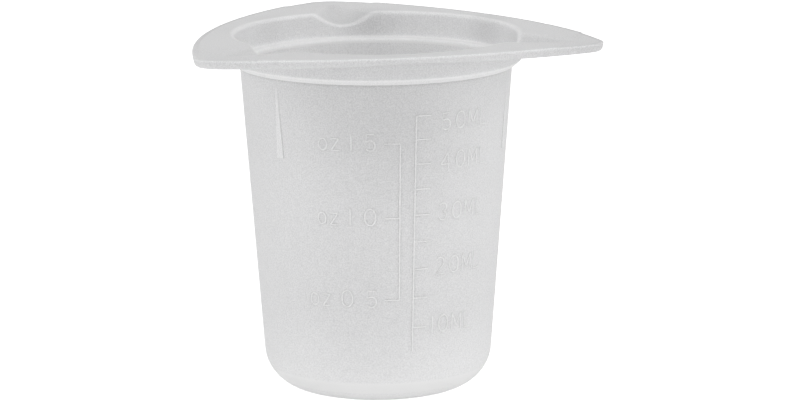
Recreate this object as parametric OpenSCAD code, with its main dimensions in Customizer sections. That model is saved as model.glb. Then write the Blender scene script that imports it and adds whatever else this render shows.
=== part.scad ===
// Graduated mixing cup with a three-cornered pouring rim.
// Millimetres. Z is up, the axis of the cup is the Z axis, and the cup stands on z = 0.
// The front with the scales looks along -Y.

/* [Cup] */
// Height of the cup from the table to the top of the rim
cup_height = 57.5; // [57:0.5:62]
// Outside radius of the tapered wall, drawn down to the table
wall_foot_radius = 17.85; // [17:0.05:18.4]
// Draft of the wall
wall_taper = 4.35; // [3.6:0.05:4.8]
// Thickness of the wall
wall = 0.9; // [0.7:0.05:1.1]
// Radius of the rounded corner between the wall and the underside
corner_radius = 6.7; // [5:0.1:7.2]
// Height of the inside of the floor above the table
floor_top = 1.9; // [1.5:0.1:2.6]
// Depth of the recess under the floor
recess_depth = 0.9; // [0.4:0.1:1.2]
// Radius of the recess under the floor
recess_radius = 10.4; // [8:0.1:11]

/* [Shoulder and collar] */
// Height of the flat underside of the shoulder
shoulder_foot = 52.5; // [52:0.1:52.6]
// Radius of the rounded edge between the underside and the collar
shoulder_rounding = 1.6; // [1:0.1:1.7]
// Outside radius of the collar
collar_radius = 23.5; // [23.3:0.1:24.5]
// Height of the stacking ledge inside
ledge_height = 53.2; // [53.2:0.1:53.6]
// Radius of the rounded mouth edge
mouth_rounding = 0.6; // [0.3:0.1:0.8]

/* [Rim] */
// Distance from the axis to a corner of the rim
corner_reach = 37.4; // [36:0.1:39]
// Distance from the axis to the middle of a side of the rim
side_reach = 26.8; // [26:0.1:27.8]
// Radius of the rim's corners
corner_rounding = 4.5; // [3:0.1:7]
// Thickness of the flange
flange_thickness = 0.85; // [0.7:0.05:1]
// Height of the turned-down lip
lip_height = 1.15; // [1.05:0.05:2]
// Thickness of the lip
lip_thickness = 0.9; // [0.6:0.05:1.2]
// Direction of the right-hand corner, seen from above
corner_direction = -16.5; // [-30:0.5:0]

/* [Spouts] */
// Width of a spout at the mouth
spout_width = 9.6; // [8:0.1:10.4]
// Depth of a spout at the mouth
spout_depth = 2.3; // [1.8:0.1:2.5]
// Distance from the axis to the point where a spout runs out in the flange
spout_end = 32.2; // [31:0.1:33]

/* [Stacking ribs] */
// Height of the lower end of a rib
rib_foot = 39.7; // [36:0.1:45]
// Height at which a rib runs out into the wall
rib_top = 51; // [48:0.1:52]
// Width of a rib at its lower end
rib_foot_width = 1.6; // [0.8:0.05:1.8]
// Width of a rib at its upper end
rib_top_width = 0.45; // [0.3:0.05:0.8]
// How far a rib stands out of the wall at its lower end
rib_relief = 0.25; // [0.2:0.05:0.8]

/* [Scales] */
// How far the lines and ticks stand out of the wall
mark_relief = 0.15; // [0.1:0.01:0.3]
// Width of the lines and ticks
mark_width = 0.35; // [0.2:0.05:0.6]
// Half the angle between the two upright lines
line_angle = 3.4; // [2:0.1:6]
// Angle that a tick spans around the wall
tick_angle = 7; // [4:0.5:10]
// Highest mark in millilitres
ml_top = 50; // [40:5:50]
// Step between the millilitre marks
ml_step = 5; // [5:5:10]
// Lower end of the millilitre line
ml_line_foot = 8.9; // [7:0.1:12]
// Number of fluid ounce marks
oz_marks = 3; // [1:1:3]
// Step between the marks in fluid ounces
oz_step = 0.5; // [0.25:0.25:0.5]

/* [Hidden] */
$fn = 96;

// Colours of the translucent plastic, with the raised details a shade lighter
plastic = [0.83, 0.83, 0.835];
plastic_light = [0.88, 0.88, 0.885];

// The three corners are a third of a turn apart
third = 120;
right_corner = corner_direction;
back_corner = corner_direction + third;
left_corner = corner_direction - third;
// The scales stand in the middle of the side between the left and right corners
scale_direction = corner_direction - third / 2;

// Wall: outside and inside radius at a height
slope = tan(wall_taper);
wall_step = wall / cos(wall_taper);
function outside(z) = wall_foot_radius + z * slope;
function inside(z) = outside(z) - wall_step;

// Rounded corner: centre radius, and the height where it runs into the wall
corner_centre = outside(corner_radius) - corner_radius / cos(wall_taper);
corner_top = corner_radius * (1 - sin(wall_taper));
inner_corner = corner_radius - wall;
inner_corner_z = floor_top + inner_corner;
inner_corner_centre = inside(inner_corner_z) - inner_corner / cos(wall_taper);
inner_corner_top = inner_corner_z - inner_corner * sin(wall_taper);
base_top = max(corner_top, inner_corner_top) + 0.2;
arc_steps = 14;
function arc(cx, cz, r, from, to, steps) =
    [for (i = [0:steps]) let (a = from + (to - from) * i / steps) [cx + r * cos(a), cz + r * sin(a)]];

// Volumes: millilitres in the straight cone above the floor, less the rounded corner.
// A quarter round takes (1 - pi / 4) of its square away, centred at this share of its radius.
corner_share = 0.2234;
floor_radius = inside(floor_top);
corner_loss = 2 * PI * (floor_radius - corner_share * inner_corner)
    * (1 - PI / 4) * pow(inner_corner, 2);
mm3_per_ml = 1000;
ml_per_oz = 29.574;
function level(ml) = let (
        cubed = pow(floor_radius, 3) + 3 * slope * (mm3_per_ml * ml + corner_loss) / PI,
        surface = pow(cubed, 1 / 3))
    floor_top + (surface - floor_radius) / slope;

// Shoulder: a step with a rounded edge outside and a flat ledge inside
collar_inside = collar_radius - wall;
shoulder_top = shoulder_foot + shoulder_rounding;
ledge_rounding = 0.5;
flange_foot = cup_height - flange_thickness;
mouth_radius = collar_inside + mouth_rounding;

// Rim outline: the sides are arcs that run smoothly into the round corners
function side_offset(reach, side, r) =
    (pow(side - r, 2) - pow(reach - r, 2)) / ((reach - r) - 2 * (side - r));
side_centre = side_offset(corner_reach, side_reach, corner_rounding);
side_radius = side_reach + side_centre;
corner_arm = corner_reach - corner_rounding;
// Half the angle of a corner arc, from the direction of the side's centre
corner_half = atan2(corner_arm * sin(third / 2), corner_arm * cos(third / 2) + side_centre);
corner_turn = third / 2 - corner_half;

// Spout: a cone whose lowest line climbs from the mouth to the end of the spout
spout_start = sqrt(pow(mouth_radius, 2) - pow(spout_width / 2, 2));
spout_length = spout_end - spout_start;
spout_fall = atan(spout_depth / spout_length);
spout_spread = atan(spout_width / 2 / spout_length);
spout_tilt = atan((cos(spout_fall) - cos(spout_spread)) / sin(spout_fall));
spout_half = spout_fall + spout_tilt;
spout_reach = 13;
spout_tip = 0.5;

module base_profile() {
    outer = arc(corner_centre, corner_radius, corner_radius, -90, -wall_taper, arc_steps);
    inner = arc(inner_corner_centre, inner_corner_z, inner_corner, -wall_taper, -90, arc_steps);
    polygon(concat(
        [[0, recess_depth], [recess_radius, recess_depth], [recess_radius + recess_depth / 2, 0]],
        outer,
        [[outside(base_top), base_top], [inside(base_top), base_top]],
        inner,
        [[0, floor_top]]));
}

module base_cup() {
    color(plastic)
    rotate_extrude()
    base_profile();
}

module side_wall() {
    color(plastic)
    rotate_extrude()
    polygon([
        [inside(base_top), base_top],
        [outside(base_top), base_top],
        [outside(shoulder_foot), shoulder_foot],
        [inside(shoulder_foot), shoulder_foot]]);
}

module shoulder_ring() {
    ledge_in = inside(ledge_height - ledge_rounding);
    color(plastic)
    difference() {
        rotate_extrude()
        polygon(concat(
            [[inside(shoulder_foot), shoulder_foot], [outside(shoulder_foot), shoulder_foot]],
            arc(collar_radius - shoulder_rounding, shoulder_top, shoulder_rounding,
                -90, 0, arc_steps),
            [[collar_inside, shoulder_top]],
            arc(collar_inside - ledge_rounding, ledge_height + ledge_rounding, ledge_rounding,
                0, -90, arc_steps / 2),
            arc(ledge_in + ledge_rounding, ledge_height - ledge_rounding, ledge_rounding,
                90, 180, arc_steps / 2)));
        at_corners()
        spout_cone(wall);
    }
}

// Cone of one spout, pushed outwards by the given thickness
module spout_cone(thickness) {
    start = spout_tip - thickness / sin(spout_half);
    translate([spout_end, 0, cup_height])
    rotate([0, -90 + spout_tilt, 0])
    translate([0, 0, start])
    cylinder(
        h = spout_reach - start,
        r1 = spout_tip * tan(spout_half),
        r2 = spout_tip * tan(spout_half) + (spout_reach - start) * tan(spout_half));
}

module at_corners() {
    for (turn = [right_corner, back_corner, left_corner])
        rotate([0, 0, turn])
        children();
}

module collar() {
    color(plastic)
    difference() {
        rotate_extrude()
        polygon(concat(
            [[collar_inside, shoulder_top], [collar_radius, shoulder_top]],
            [[collar_radius, flange_foot], [mouth_radius, flange_foot], [mouth_radius, cup_height]],
            arc(mouth_radius, cup_height - mouth_rounding, mouth_rounding,
                90, 180, arc_steps / 2)));
        at_corners()
        spout_cone(wall);
    }
}

// Outline of the rim, drawn in from the edge by inset
module rim_outline(inset) {
    corner = corner_rounding - inset;
    cut = corner_arm + corner * cos(corner_turn);
    intersection() {
        intersection_for(turn = [0:2])
            rotate(scale_direction + turn * third)
            translate([-side_centre, 0])
            circle(r = side_radius - inset, $fn = 4 * $fn);
        rotate(corner_direction + third / 2)
        circle(r = 2 * cut, $fn = 3);
    }
    at_corners()
    translate([corner_arm, 0])
    circle(r = corner);
}

module rim_flange() {
    color(plastic)
    difference() {
        translate([0, 0, flange_foot])
        linear_extrude(height = flange_thickness)
        difference() {
            rim_outline(lip_thickness);
            circle(r = mouth_radius);
        }
        at_corners()
        spout_cone(wall);
    }
}

module rim_lip() {
    color(plastic_light)
    translate([0, 0, cup_height - lip_height])
    linear_extrude(height = lip_height)
    difference() {
        rim_outline(0);
        rim_outline(lip_thickness);
    }
}

module spout(direction) {
    color(plastic_light)
    rotate([0, 0, direction])
    difference() {
        spout_cone(wall);
        spout_cone(0);
        translate([0, 0, cup_height])
        cylinder(h = 2 * spout_reach, r = 2 * corner_reach);
        translate([0, 0, cup_height - spout_reach])
        cylinder(h = 2 * spout_reach, r = collar_inside);
    }
}

module spout_left() {
    spout(left_corner);
}

module spout_right() {
    spout(right_corner);
}

module spout_back() {
    spout(back_corner);
}

// A rib is a low wedge that grows wider and stands out more towards its square lower end
module stack_rib(direction) {
    sweep = 4 * asin(rib_foot_width / 2 / outside(rib_foot));
    color(plastic_light)
    rotate([0, 0, direction])
    intersection() {
        rotate([0, 0, -sweep / 2])
        rotate_extrude(angle = sweep)
        polygon([
            [outside(rib_foot), rib_foot],
            [outside(rib_foot) + rib_relief, rib_foot],
            [outside(rib_top), rib_top]]);
        rotate([90, 0, 90])
        linear_extrude(height = collar_radius)
        polygon([
            [-rib_foot_width / 2, rib_foot],
            [rib_foot_width / 2, rib_foot],
            [rib_top_width / 2, rib_top],
            [-rib_top_width / 2, rib_top]]);
    }
}

module stack_rib_left() {
    stack_rib(left_corner);
}

module stack_rib_right() {
    stack_rib(right_corner);
}

module stack_rib_back() {
    stack_rib(back_corner);
}

// A raised patch of the wall between two heights and two directions
module wall_patch(low, high, from, sweep) {
    rotate([0, 0, from])
    rotate_extrude(angle = sweep)
    polygon([
        [outside(low), low],
        [outside(low) + mark_relief, low],
        [outside(high) + mark_relief, high],
        [outside(high), high]]);
}

module ticks(levels, from) {
    color(plastic_light)
    for (z = levels)
        wall_patch(z - mark_width / 2, z + mark_width / 2, from, tick_angle);
}

ml_levels = [for (ml = [2 * ml_step:ml_step:ml_top]) level(ml)];
oz_levels = [for (i = [1:oz_marks]) level(i * oz_step * ml_per_oz)];
// Angle that an upright line spans around the wall, taken at the middle of the wall
line_sweep = 2 * asin(mark_width / 2 / outside(cup_height / 2));

module ml_scale_line() {
    color(plastic_light)
    wall_patch(ml_line_foot, max(ml_levels) + mark_width / 2,
        scale_direction + line_angle - line_sweep, line_sweep);
}

module ml_ticks() {
    ticks(ml_levels, scale_direction + line_angle);
}

module oz_scale_line() {
    color(plastic_light)
    wall_patch(min(oz_levels) - mark_width / 2, max(oz_levels) + mark_width / 2,
        scale_direction - line_angle, line_sweep);
}

module oz_ticks() {
    ticks(oz_levels, scale_direction - line_angle - tick_angle);
}

base_cup();
side_wall();
shoulder_ring();
collar();
rim_flange();
rim_lip();
spout_left();
spout_right();
spout_back();
stack_rib_left();
stack_rib_right();
stack_rib_back();
ml_scale_line();
ml_ticks();
oz_scale_line();
oz_ticks();
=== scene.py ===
import math

import bpy
from mathutils import Matrix, Vector


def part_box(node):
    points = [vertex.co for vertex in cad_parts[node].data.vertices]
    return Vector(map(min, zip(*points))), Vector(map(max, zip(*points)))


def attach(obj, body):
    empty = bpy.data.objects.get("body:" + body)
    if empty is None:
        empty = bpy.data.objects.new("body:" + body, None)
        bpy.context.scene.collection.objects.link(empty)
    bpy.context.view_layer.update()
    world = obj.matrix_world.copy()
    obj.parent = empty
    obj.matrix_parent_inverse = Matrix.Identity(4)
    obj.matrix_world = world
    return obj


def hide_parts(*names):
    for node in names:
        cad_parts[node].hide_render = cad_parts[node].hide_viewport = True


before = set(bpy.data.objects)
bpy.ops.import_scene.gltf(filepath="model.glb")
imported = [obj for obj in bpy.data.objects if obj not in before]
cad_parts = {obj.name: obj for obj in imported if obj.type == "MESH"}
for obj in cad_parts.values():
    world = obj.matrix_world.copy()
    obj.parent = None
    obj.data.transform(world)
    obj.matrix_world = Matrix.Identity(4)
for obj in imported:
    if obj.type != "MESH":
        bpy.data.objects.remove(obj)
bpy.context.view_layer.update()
bpy.ops.object.select_all(action="DESELECT")

# The camera stands in front of the cup and looks a little down on it through a long lens,
# so that the round mouth shows as a thin ellipse.
mm = 0.001
camera_place = Vector((0, -705.8, 166.1)) * mm
look_down = math.radians(10.907)
look_right = math.radians(0.300)
camera_roll = math.radians(0.349)
camera_turn = (
    Matrix.Rotation(-look_right, 3, "Z")
    @ Matrix.Rotation(math.pi / 2 - look_down, 3, "X")
    @ Matrix.Rotation(-camera_roll, 3, "Z")
)
bpy.ops.object.camera_add(location=camera_place, rotation=camera_turn.to_euler())
camera = bpy.context.object
camera.data.sensor_width = 36
camera.data.lens = 200.7
bpy.context.scene.camera = camera
bpy.context.scene.view_settings.view_transform = "Standard"

# The cup, from floor to flange, turned-down lip and spouts, is one skin of milky polypropylene,
# moulded in one shot. Its section is drawn out corner by corner, the corners are rounded, and
# the line is spun round the axis. A shallow recess under the floor leaves a ring to stand on.
cup_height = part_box("rim_flange")[1].z
shoulder_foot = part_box("shoulder_ring")[0].z
shoulder_slope_in = 22.35 * mm
shoulder_slope_top = 53.5 * mm
collar_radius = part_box("collar")[1].x
wall = 0.9 * mm
wall_taper = math.radians(4.35)
wall_foot_radius = 17.85 * mm
corner_radius = 6.7 * mm
floor_top = 1.9 * mm
recess_depth = 0.9 * mm
recess_radius = 10.4 * mm
ledge_height = 53.2 * mm
side_reach = 26.8 * mm
flange_thickness = 0.85 * mm
lip_thickness = 0.9 * mm
lip_height = 1.15 * mm
flange_foot = cup_height - flange_thickness
lip_foot = cup_height - lip_height
lip_inside = side_reach - lip_thickness
collar_inside = collar_radius - wall
mouth_rounding = 0.6 * mm
tiny = 0.01 * mm


def outside(z):
    """Radius of the outside of the wall at a height."""
    return wall_foot_radius + z * math.tan(wall_taper)


def inside(z):
    """Radius of the inside of the wall at a height."""
    return outside(z) - wall / math.cos(wall_taper)


# Corners of the section: distance from the axis, height, rounding and steps of the rounding
section = [
    (0, recess_depth, 0, 0),
    (recess_radius, recess_depth, 0.3 * mm, 3),
    (recess_radius + recess_depth / 2, 0, 0.15 * mm, 2),
    (wall_foot_radius, 0, corner_radius, 18),
    (outside(shoulder_foot), shoulder_foot, 0.15 * mm, 3),
    (shoulder_slope_in, shoulder_foot, 0.25 * mm, 3),
    (collar_radius, shoulder_slope_top, 0.4 * mm, 4),
    (collar_radius, flange_foot, 0.3 * mm, 4),
    (lip_inside, flange_foot, 0.12 * mm, 3),
    (lip_inside, lip_foot, 0.12 * mm, 3),
    (side_reach, lip_foot, 0.35 * mm, 5),
    (side_reach, cup_height, 0.3 * mm, 5),
    (collar_inside, cup_height, mouth_rounding, 8),
    (collar_inside, ledge_height, 0.6 * mm, 6),
    (inside(ledge_height), ledge_height, 0.5 * mm, 6),
    (inside(floor_top), floor_top, corner_radius - wall, 16),
    (0, floor_top, 0, 0),
]


def pick_points(piece, test):
    """Selects the points of a piece whose places pass the test, and nothing else."""
    bpy.ops.object.mode_set(mode="EDIT")
    bpy.ops.mesh.select_mode(type="VERT")
    bpy.ops.mesh.select_all(action="DESELECT")
    bpy.ops.object.mode_set(mode="OBJECT")
    for point in piece.data.vertices:
        point.select = bool(test(point.co))
    bpy.ops.object.mode_set(mode="EDIT")


def pick_edges(piece, test):
    """Selects the edges of a piece whose two ends pass the test, and nothing else."""
    bpy.ops.object.mode_set(mode="EDIT")
    bpy.ops.mesh.select_mode(type="EDGE")
    bpy.ops.mesh.select_all(action="DESELECT")
    bpy.ops.object.mode_set(mode="OBJECT")
    for edge in piece.data.edges:
        edge.select = bool(test(*[piece.data.vertices[i].co for i in edge.vertices]))
    bpy.ops.object.mode_set(mode="EDIT")


corners = [Vector((r, 0, z)) for r, z, rounding, steps in section]
bpy.ops.mesh.primitive_plane_add(size=mm)
cup = bpy.context.object
cup.name = cup.data.name = "cup_shell"
bpy.ops.object.mode_set(mode="EDIT")
bpy.ops.mesh.merge(type="CENTER")
bpy.ops.transform.translate(value=corners[0])
for here, there in zip(corners, corners[1:]):
    bpy.ops.mesh.extrude_vertices_move(TRANSFORM_OT_translate={"value": there - here})

for i in range(1, len(section) - 1):
    before, corner, after = corners[i - 1 : i + 2]
    turn = (corner - before).angle(after - corner)
    pick_points(cup, lambda co: (co - corner).length < tiny)
    rounding, steps = section[i][2:]
    bpy.ops.mesh.bevel(
        offset=rounding * math.tan(turn / 2), segments=steps, affect="VERTICES", clamp_overlap=False
    )

# The straight runs get rows, close together where they bend later: in turn the flange, the
# collar, the long wall and the floor
long_edge, long_wall, long_floor = 1.2 * mm, 20 * mm, 5 * mm
runs = [
    (lambda a, b: abs(a.z - b.z) < tiny and abs(a.x - b.x) > long_edge and a.z > shoulder_foot, 18),
    (lambda a, b: abs(a.x - b.x) < tiny and abs(a.z - b.z) > long_edge, 7),
    (lambda a, b: abs(a.z - b.z) > long_wall, 15),
    (lambda a, b: abs(a.z - b.z) < tiny and abs(a.x - b.x) > long_floor, 2),
]
for test, rows in runs:
    pick_edges(cup, test)
    bpy.ops.mesh.subdivide(number_cuts=rows)

spin_steps = 480
bpy.ops.mesh.select_all(action="SELECT")
bpy.ops.mesh.spin(steps=spin_steps, angle=math.tau, center=(0, 0, 0), axis=(0, 0, 1))
bpy.ops.mesh.select_all(action="SELECT")
bpy.ops.mesh.remove_doubles(threshold=tiny / 10)
bpy.ops.mesh.normals_make_consistent(inside=False)
bpy.ops.object.mode_set(mode="OBJECT")

# The round rim is now drawn out to its three corners. The sides are wide arcs that run
# smoothly into the round corners.
corner_reach = 37.4 * mm
corner_rounding = 4.5 * mm
corner_arm = corner_reach - corner_rounding
third = math.tau / 3
side_centre = ((side_reach - corner_rounding) ** 2 - corner_arm**2) / (
    corner_arm - 2 * (side_reach - corner_rounding)
)
side_radius = side_reach + side_centre
arc_meets_side = third / 2 - math.atan2(
    corner_arm * math.sin(third / 2), corner_arm * math.cos(third / 2) + side_centre
)


def rim_reach(off_corner, inset):
    """Distance from the axis to the rim's outline, in a direction measured from a corner."""
    round_part = corner_rounding - inset
    meeting = math.atan2(
        round_part * math.sin(arc_meets_side),
        corner_arm + round_part * math.cos(arc_meets_side),
    )
    if abs(off_corner) < meeting:
        across = corner_arm * math.sin(off_corner)
        return corner_arm * math.cos(off_corner) + math.sqrt(round_part**2 - across**2)
    off_side = third / 2 - abs(off_corner)
    across = side_centre * math.sin(off_side)
    return math.sqrt((side_radius - inset) ** 2 - across**2) - side_centre * math.cos(off_side)


# A spout is a trough that narrows and climbs from the mouth to its end in the flange. Its
# underside is the same trough, pushed out by the thickness of the wall. Its edges are soft,
# and grow softer towards its end.
spout_width = 9.6 * mm
spout_depth = 2.3 * mm
spout_end = 32.2 * mm
spout_start = math.sqrt((collar_inside + mouth_rounding) ** 2 - (spout_width / 2) ** 2)
spout_length = spout_end - spout_start
trough_wall = wall / math.cos(math.atan(spout_depth / spout_length))
top_softness, under_softness, fading = 0.22 * mm, 0.4 * mm, 4
least_share = 0.02


def trough(along, across, thickness, softness):
    """How deep a spout's trough lies below the flange at a place. It fades out softly."""
    share = (spout_end - along) / spout_length + thickness / spout_depth
    depth = -spout_depth
    if share > least_share:
        depth = share * spout_depth * (1 - (2 * across / spout_width / share) ** 2)
    depth -= flange_thickness if thickness else 0
    softness *= 1 + fading * max(0, along - spout_start) / spout_length
    return (depth + math.hypot(depth, softness)) / 2


# The lip is deeper towards the corners and draws in a little below its top edge, and the
# flange falls a little towards the corners. The collar is pressed down into the troughs. Three
# attributes tell the plastic where the lip, the troughs and the inside of the cup are, for its
# painted light and shade.
lip_at_side, lip_at_corner, lip_growth = 1 * mm, 1.6 * mm, 0.35
lip_draft = 0.3 * mm
corner_fall = 0.04 * mm
pressed_inside, pressed_outside = ledge_height + 0.6 * mm, 53.6 * mm
full_trough = 0.5 * mm
lip_middle = (lip_inside + side_reach) / 2
collar_middle = (collar_inside + collar_radius) / 2
flange_middle = cup_height - flange_thickness / 2
on_lip, in_trough, in_cup = [], [], []
for point in cup.data.vertices:
    r, z = math.hypot(point.co.x, point.co.y), point.co.z
    on_lip.append(float(r > lip_inside - tiny))
    in_trough.append(0.0)
    in_cup.append(float(z > floor_top - tiny and r < outside(z) - wall / 2))
    if z < pressed_outside or r < collar_inside - tiny:
        continue
    turn = math.atan2(point.co.y, point.co.x)
    off_corner = turn - round(turn / third) * third
    reach = rim_reach(off_corner, 0)
    corner_share = max(0, (reach - side_reach) / (corner_reach - side_reach))
    new_r, drop = r, 0
    if r > collar_radius:
        new_r = rim_reach(off_corner, side_reach - r)
        if r > lip_middle:
            new_r -= lip_draft * (cup_height - z) / lip_height
        if r < lip_inside:
            share = (r - collar_radius) / (lip_inside - collar_radius)
            new_r = collar_radius + share * (rim_reach(off_corner, lip_thickness) - collar_radius)
        drop = corner_fall * corner_share * (new_r - collar_radius) / (reach - collar_radius)
    along, across = new_r * math.cos(off_corner), new_r * math.sin(off_corner)
    if r > lip_inside - tiny and z < flange_middle:
        lip = lip_at_side + (lip_at_corner - lip_at_side) * corner_share**lip_growth
        z = cup_height - (cup_height - z) * lip / lip_height
        if r < lip_middle:
            z = min(z, flange_foot)
    elif r > collar_middle and z < flange_middle:
        share = min(1, (z - pressed_outside) / (flange_foot - pressed_outside))
        drop += share * trough(along, across, trough_wall, under_softness)
    else:
        share = (z - pressed_inside) / (cup_height - pressed_inside)
        dip = share * trough(along, across, 0, top_softness)
        in_trough[-1] = min(1, dip / full_trough)
        drop += dip
    point.co = (new_r * math.cos(turn), new_r * math.sin(turn), z - drop)
for name, values in (("lip", on_lip), ("trough", in_trough), ("inner", in_cup)):
    cup.data.attributes.new(name, "FLOAT", "POINT").data.foreach_set("value", values)

# The right-hand corner points a little towards the front
corner_direction = math.radians(-16.5)
cup.rotation_euler.z = corner_direction
bpy.ops.object.transform_apply(rotation=True)


def shade_evenly(piece):
    """Smooth shading in which the large faces stay even and only the roundings turn."""
    bpy.ops.object.shade_smooth()
    bpy.ops.object.modifier_add(type="WEIGHTED_NORMAL")
    piece.modifiers[0].weight = 100
    bpy.ops.object.modifier_apply(modifier=piece.modifiers[0].name)


shade_evenly(cup)


class Wire:
    """A socket of a node tree. Arithmetic on it adds nodes, and add() brings in any node."""

    def __init__(self, tree, socket=None):
        self.tree, self.socket = tree, socket

    def add(self, kind, settings=None, inputs=None, output=0):
        node = self.tree.nodes.new(kind)
        for name, value in (settings or {}).items():
            setattr(node, name, value)
        for name, value in (inputs or {}).items():
            if isinstance(value, Wire):
                self.tree.links.new(value.socket, node.inputs[name])
            else:
                node.inputs[name].default_value = value
        return Wire(self.tree, node.outputs[output] if node.outputs else None)

    def maths(self, operation, first, second):
        return self.add("ShaderNodeMath", {"operation": operation}, {0: first, 1: second})

    def __add__(self, other):
        return self.maths("ADD", self, other)

    def __sub__(self, other):
        return self.maths("SUBTRACT", self, other)

    def __rsub__(self, other):
        return self.maths("SUBTRACT", other, self)

    def __mul__(self, other):
        return self.maths("MULTIPLY", self, other)

    __radd__, __rmul__ = __add__, __mul__

    def span(self, low, high):
        """How far the value has come from low to high, from 0 to 1, with a soft start and end."""
        limits = {"Value": self, "From Min": low, "From Max": high}
        return self.add("ShaderNodeMapRange", {"interpolation_type": "SMOOTHSTEP"}, limits)

    def near(self, point, reach):
        """1 where a place is at a point, and 0 beyond a reach from it, both in millimetres."""
        ends = {0: self, 1: [value * mm for value in point]}
        gap = self.add("ShaderNodeVectorMath", {"operation": "DISTANCE"}, ends, "Value")
        return (gap * 1000.0).span(reach, 0)


# The plastic has faint clouds and a fine grain in its tone, and the grain shows in the gloss
clouds_per_metre, cloud_share = 55.0, 0.04
grains_per_metre, grain_share = 5200.0, 0.34
blue_lift = 0.004
least_roughness, roughness_share = 0.36, 0.12
bump_share, bump_height = 0.15, 0.02 * mm


def milky_plastic(name, tone, soak_depth):
    """Milky polypropylene of a tone, with painted light and shade, into which light soaks to a
    depth.
    """
    material = bpy.data.materials.new(name)
    material.use_nodes = True
    tree = material.node_tree
    tree.nodes.clear()
    sheet = Wire(tree)
    place = sheet.add("ShaderNodeTexCoord", output="Object")
    pattern = {"Vector": place, "Scale": clouds_per_metre, "Detail": 3.0}
    clouds = sheet.add("ShaderNodeTexNoise", inputs=pattern)
    pattern = {"Vector": place, "Scale": grains_per_metre, "Detail": 1.0}
    grain = sheet.add("ShaderNodeTexNoise", inputs=pattern)
    x, y, z = [
        sheet.add("ShaderNodeSeparateXYZ", inputs={"Vector": place}, output=axis) * 1000.0
        for axis in "XYZ"
    ]
    r = sheet.maths("SQRT", x * x + y * y, 0.0)
    lip, dip, inner = [
        sheet.add("ShaderNodeAttribute", {"attribute_name": region}, output="Fac")
        for region in ("lip", "trough", "inner")
    ]
    # Painted light and shade: each row makes the tone lighter where light falls on the cup, or
    # darker where shade falls, and says how much, and where. Heights and distances from the axis
    # are in millimetres here.
    rows = [
        # Painted light from below: the wall lighter towards the floor, and the corner and the floor
        # lighter still
        (0.07, z.span(16, 3)),
        (0.06, z.span(7, 1.5)),
        (0.05, z.span(3.5, 0.5)),
        # Painted shade: the wall darker and darker upwards, and a darker patch in the middle of its
        # front near the top
        (-0.03, z.span(28, 50) * z.span(52.5, 52.4)),
        (-0.065, place.near((3, -21.5, 48.5), 22)),
        # Painted shade in the hollow below the shoulder, and painted light on the shoulder's slope
        (-0.06, z.span(51.9, 52.35) * z.span(52.5, 52.45) * r.span(21.4, 21.6)),
        (0.12, z.span(52.45, 52.6) * z.span(53.6, 53.35)),
        # Painted light on the collar's outside and on the flange
        (0.02, z.span(53.6, 54) * r.span(23.2, 23.35) * r.span(23.7, 23.55)),
        (0.015, z.span(57, 57.2) * r.span(23.6, 24)),
        # Painted shade on the lip below its top edge, and on the lip away from the front
        (-0.03, lip * z.span(57.25, 57.1)),
        (-0.08, lip * y.span(-24, -8)),
        # Painted shade in the troughs outside the mouth
        (-0.04, dip * r.span(22.9, 23.6)),
        # Painted light on the ledge's inner edge and on the collar's inside with the ledge, and a
        # painted highlight along the mouth's edge
        (0.05, z.span(52.6, 52.8) * r.span(21.8, 21.4)),
        (0.065, z.span(53, 53.3) * r.span(23.4, 23.2)),
        (0.03, r.span(22.7, 22.8) * r.span(23.2, 23.0) * z.span(54.6, 55.2)),
        # Three faint painted shadows on the collar's inside
        (-0.1, place.near((-1.2, 22.6, 55.2), 7)),
        (-0.08, place.near((17.8, 14, 55), 6.5)),
        (-0.05, place.near((-17.4, 14.4, 55), 6.5)),
        # Painted light on the inside below the ledge
        (0.15, inner * z.span(53, 52.4)),
    ]
    # The plastic's own tone, clouds and grain, with the painted light and shade of the rows added
    tone_with_painted_light = clouds * cloud_share + grain * grain_share + (tone - (cloud_share + grain_share) / 2)
    for share, where in rows:
        tone_with_painted_light = tone_with_painted_light + where * share
    colour = sheet.add("ShaderNodeCombineColor", inputs={0: tone_with_painted_light, 1: tone_with_painted_light, 2: tone_with_painted_light + blue_lift})
    relief = {"Strength": bump_share, "Distance": bump_height, "Height": grain}
    shader = sheet.add(
        "ShaderNodeBsdfPrincipled",
        inputs={
            "Base Color": colour,
            "Roughness": clouds * roughness_share + least_roughness,
            "Normal": sheet.add("ShaderNodeBump", inputs=relief),
            "IOR": 1.49,
            "Subsurface Weight": 1.0,
            "Subsurface Radius": (1.0, 1.0, 1.0),
            "Subsurface Scale": soak_depth,
        },
    )
    sheet.add("ShaderNodeOutputMaterial", inputs={"Surface": shader})
    return material


cup_tone, cup_soak = 0.8, 0.5 * mm
cup.data.materials.append(milky_plastic("milky_plastic", cup_tone, cup_soak))
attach(cup, "root")
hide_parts("base_cup", "side_wall", "shoulder_ring", "collar", "rim_flange", "rim_lip")
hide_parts("spout_left", "spout_right", "spout_back")

# Three stacking ribs of the same plastic stand on the wall, under the corners. Each is a block
# pulled into a low wedge, wider and higher towards its square lower end, with rounded edges.
# One is modelled and copied twice. The ribs are painted lighter than the wall as painted light,
# and the right-hand one is given painted shade, nearly as dark as the wall.
rib_foot, rib_top = [corner.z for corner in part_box("stack_rib_left")]
rib_foot_width, rib_top_width = 1.65 * mm, 0.45 * mm
rib_relief = 0.15 * mm
rib_draft = 0.1 * mm
rib_sunk = 0.5 * mm
rib_rounding = 0.08 * mm
rib_soak = 0.05 * mm
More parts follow.
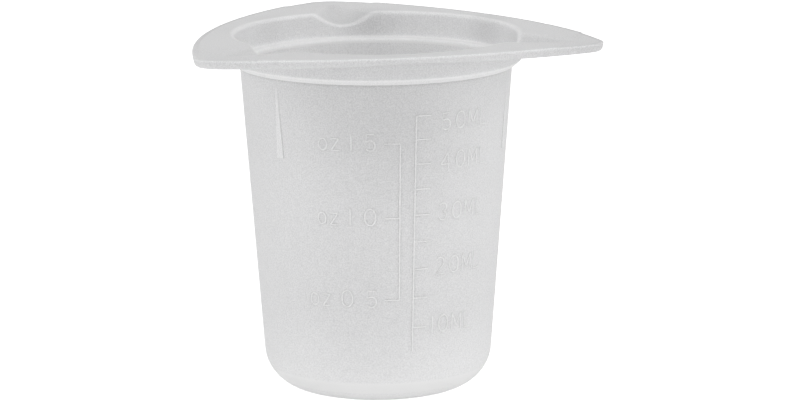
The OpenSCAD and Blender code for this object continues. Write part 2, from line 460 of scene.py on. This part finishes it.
# Painted light on the left and back ribs, and painted shade on the right-hand one
rib_tones_with_painted_light = (0.875, 0.825, 0.875)
bpy.ops.mesh.primitive_cube_add(size=1)
rib = bpy.context.object
for point in rib.data.vertices:
    upper = point.co.z > 0
    z = rib_top if upper else rib_foot
    width = rib_top_width if upper else rib_foot_width
    relief = 0 if upper else rib_relief
    outer = point.co.x > 0
    x = outside(z) + (relief if outer else -rib_sunk)
    half = width / 2 - (rib_draft if outer and not upper else 0)
    point.co = (x, math.copysign(half, point.co.y), z)
bpy.ops.object.mode_set(mode="EDIT")
bpy.ops.mesh.select_all(action="SELECT")
bpy.ops.mesh.bevel(offset=rib_rounding, segments=3, affect="EDGES")
bpy.ops.object.mode_set(mode="OBJECT")
shade_evenly(rib)


def take_up(piece):
    """Selects one piece and nothing else."""
    bpy.ops.object.select_all(action="DESELECT")
    piece.select_set(True)
    bpy.context.view_layer.objects.active = piece


ribs = [rib]
for side in ("right", "back"):
    take_up(rib)
    bpy.ops.object.duplicate()
    ribs.append(bpy.context.object)
for rib, side, turns, tone in zip(ribs, ("left", "right", "back"), (-1, 0, 1), rib_tones_with_painted_light):
    rib.name = rib.data.name = "rib_" + side
    rib.data.materials.append(milky_plastic("milky_plastic_rib_" + side, tone, rib_soak))
    take_up(rib)
    rib.rotation_euler.z = corner_direction + turns * third
    bpy.ops.object.transform_apply(rotation=True)
    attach(rib, "root")
    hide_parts("stack_rib_" + side)

# The scales are thin raised strokes with round tops, moulded with the wall. Each is a round
# bead along a line just under the wall's surface, so that only its top stands out. Places on
# the wall are an angle, seen from above and to the right of the front, and a height.
front = math.radians(-90)
bead_width = 0.4 * mm
sink = 0.135 * mm
# The strokes are painted lighter than the wall, as painted light against the shade at their flanks
mark_tone_with_painted_light, mark_soak = 0.91, 0.015 * mm
mark_plastic = milky_plastic("milky_plastic_marks", mark_tone_with_painted_light, mark_soak)


def wall_place(angle, z, along=0, up=0):
    """A place on the wall, moved along the wall and up it from an angle and a height."""
    angle = front + angle + along / outside(z)
    z += up * math.cos(wall_taper)
    r = outside(z) - sink
    return Vector((r * math.cos(angle), r * math.sin(angle), z))


def raised_strokes(name, strokes, node=None):
    """Makes one piece of beads along lines of places on the wall, for a node of the model."""
    curve = bpy.data.curves.new(name, "CURVE")
    curve.dimensions = "3D"
    curve.bevel_depth = bead_width / 2
    curve.bevel_resolution = 3
    curve.use_fill_caps = True
    for stroke in strokes:
        spline = curve.splines.new("POLY")
        closed = (stroke[0] - stroke[-1]).length < tiny
        places = stroke[:-1] if closed else stroke
        spline.points.add(len(places) - 1)
        for point, place in zip(spline.points, places):
            point.co = (*place, 1)
        spline.use_cyclic_u = closed
    piece = bpy.data.objects.new(name, curve)
    bpy.context.collection.objects.link(piece)
    take_up(piece)
    bpy.ops.object.convert(target="MESH")
    piece = bpy.context.object
    piece.name = piece.data.name = name
    bpy.ops.object.shade_smooth()
    piece.data.materials.append(mark_plastic)
    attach(piece, "root")
    if node:
        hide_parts(node)


# The upright line and the ticks of each scale, nine for millilitres and three for ounces, at
# the heights that the model has. The ticks follow the wall round from the line.
line_angle = math.radians(3.4)
tick_angle = math.radians(7)
scale_middle = corner_direction - third / 2 - front
tick_steps = 8
tick_heights = {}
for scale, side, count in (("ml", 1, 9), ("oz", -1, 3)):
    line = scale_middle + side * line_angle
    low, high = [corner.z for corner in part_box(scale + "_scale_line")]
    upright = [wall_place(line, low + bead_width / 2), wall_place(line, high - bead_width / 2)]
    raised_strokes(scale + "_line", [upright], scale + "_scale_line")
    heights = sorted(point.co.z for point in bpy.data.objects[scale + "_ticks"].data.vertices)
    part = len(heights) // count
    groups = [heights[i * part : (i + 1) * part] for i in range(count)]
    tick_heights[scale] = [(group[0] + group[-1]) / 2 for group in groups]
    ticks = [
        [wall_place(line + side * tick_angle * i / tick_steps, z) for i in range(tick_steps + 1)]
        for z in tick_heights[scale]
    ]
    raised_strokes(scale + "_tick_marks", ticks, scale + "_ticks")

# The figures and unit letters are plain drawn strokes in the same beads. Each character is
# drawn once, in millimetres from the middle of its foot, and written along the wall.
digit_gap, letter_gap, small_gap, blank = 1.15 * mm, 0.9 * mm, 0.75 * mm, 0.8 * mm


def bow(x, y, across, up, start, end, steps=16):
    """Points of a bow of an ellipse around a middle, between two angles in degrees."""
    turns = [math.radians(start + (end - start) * i / steps) for i in range(steps + 1)]
    return [(x + across * math.cos(turn), y + up * math.sin(turn)) for turn in turns]


characters = {
    "0": [bow(0, 1.35, 0.85, 1.35, 0, 360, 24)],
    "1": [[(0, 0), (0, 2.7)]],
    "2": [bow(0, 1.95, 0.7, 0.75, 160, -35) + [(-0.7, 0), (0.7, 0)]],
    "3": [bow(0, 2.03, 0.65, 0.67, 150, -90), bow(0, 0.7, 0.72, 0.7, 90, -150)],
    "4": [[(0.45, 0), (0.45, 2.7)], [(0.45, 2.7), (-0.8, 0.75)], [(-0.8, 0.75), (0.85, 0.75)]],
    "5": [[(0.65, 2.7), (-0.55, 2.7), (-0.65, 1.5)] + bow(0, 0.85, 0.8, 0.85, 130, -145)],
    "M": [
        [(-0.9, 0), (-0.9, 2.7)],
        [(-0.9, 2.7), (0, 0.6)],
        [(0, 0.6), (0.9, 2.7)],
        [(0.9, 2.7), (0.9, 0)],
    ],
    "L": [[(-0.65, 2.7), (-0.65, 0), (0.7, 0)]],
    "o": [bow(0, 0.95, 0.68, 0.95, 0, 360, 24)],
    "z": [[(-0.65, 1.9), (0.65, 1.9)], [(0.65, 1.9), (-0.65, 0)], [(-0.65, 0), (0.65, 0)]],
    ".": [[(0, 0), (0, 0.06)]],
}


def written(text, angle, foot, to_the_left=False):
    """Strokes of a row of characters that starts at an angle, or ends there."""
    strokes, along = [], 0
    for before, character in zip(" " + text, text):
        if character == " ":
            along += blank
            continue
        across = [x * mm for stroke in characters[character] for x, y in stroke]
        if strokes:
            gap = small_gap if before == "o" else letter_gap if character in "ML" else digit_gap
            along += gap
        along -= min(across)
        for stroke in characters[character]:
            strokes.append([(along + x * mm, y * mm) for x, y in stroke])
        along += max(across)
    start = -along if to_the_left else 0
    return [[wall_place(angle, foot, start + x, y) for x, y in stroke] for stroke in strokes]


# The rows stand beside their ticks, and 50 hangs below its own. The millilitre rows start at
# angles in degrees, the highest row first, and the ounce rows all end at one angle
below_tick, below_top_tick = 1.1 * mm, 2.55 * mm
ml_starts = (28.9, 29.0, 28.8, 28.1, 27.0)
oz_end = math.radians(-0.7)
ml_rows, oz_rows = [], []
for i, start in enumerate(ml_starts):
    foot = tick_heights["ml"][8 - 2 * i] - (below_tick if i else below_top_tick)
    ml_rows += written("%dML" % (50 - 10 * i), math.radians(start), foot)
raised_strokes("ml_figures", ml_rows)
for text, height in zip(("oz 0.5", "oz 1.0", "oz 1.5"), tick_heights["oz"]):
    oz_rows += written(text, oz_end, height - below_tick, to_the_left=True)
raised_strokes("oz_figures", oz_rows)

# The stage: a white floor that also gives a little light from below, a white surround, and
# plain soft lamps at the sides, above and in front. The camera sees the floor and the
# surround as white, while they light the cup less.
floor_size = 4
floor_grey = (0.8, 0.8, 0.8, 1)
floor_glow = 0.17
floor_lift = 0.8
surround_light = 0.54
white = (1, 1, 1, 1)
bpy.ops.mesh.primitive_plane_add(size=floor_size)
floor = bpy.context.object
floor.name = floor.data.name = "floor"
floor_paint = bpy.data.materials.new("white_floor")
floor_paint.use_nodes = True
floor_paint.node_tree.nodes.clear()
sheet = Wire(floor_paint.node_tree)
seen = sheet.add("ShaderNodeLightPath", output="Is Camera Ray")
paint = sheet.add("ShaderNodeBsdfDiffuse", inputs={"Color": floor_grey})
lift = sheet.add("ShaderNodeEmission", inputs={"Color": white, "Strength": floor_lift})
glow = sheet.add("ShaderNodeEmission", inputs={"Color": white, "Strength": floor_glow})
added = sheet.add("ShaderNodeMixShader", inputs={0: seen, 1: glow, 2: lift})
surface = sheet.add("ShaderNodeAddShader", inputs={0: paint, 1: added})
sheet.add("ShaderNodeOutputMaterial", inputs={"Surface": surface})
floor.data.materials.append(floor_paint)

world = bpy.data.worlds.new("surround")
bpy.context.scene.world = world
world.use_nodes = True
world.node_tree.nodes.clear()
sheet = Wire(world.node_tree)
seen = sheet.add("ShaderNodeLightPath", output="Is Camera Ray")
light = sheet.add("ShaderNodeBackground", inputs={"Color": white, "Strength": surround_light})
shown = sheet.add("ShaderNodeBackground", inputs={"Color": white, "Strength": 1.0})
surface = sheet.add("ShaderNodeMixShader", inputs={0: seen, 1: light, 2: shown})
sheet.add("ShaderNodeOutputWorld", inputs={"Surface": surface})

# Lamps: name, place in metres, size in metres and power in watts; each faces the cup
lamps = [
    ("left", (-0.9, -0.1, 0.35), 0.6, 1.4),
    ("right", (0.9, -0.1, 0.35), 0.6, 1.75),
    ("above", (0, 0, 1.0), 0.6, 1.1),
    ("above_front", (0, -0.8, 0.8), 0.6, 0.5),
    ("low_front", (0, -0.9, 0.12), 0.4, 1.1),
]
middle = Vector((0, 0, cup_height / 2))
for name, place, size, power in lamps:
    bpy.ops.object.light_add(type="AREA", location=place)
    lamp = bpy.context.object
    lamp.name = lamp.data.name = "lamp_" + name
    lamp.rotation_euler = (middle - Vector(place)).to_track_quat("-Z", "Y").to_euler()
    lamp.data.size = size
    lamp.data.energy = power
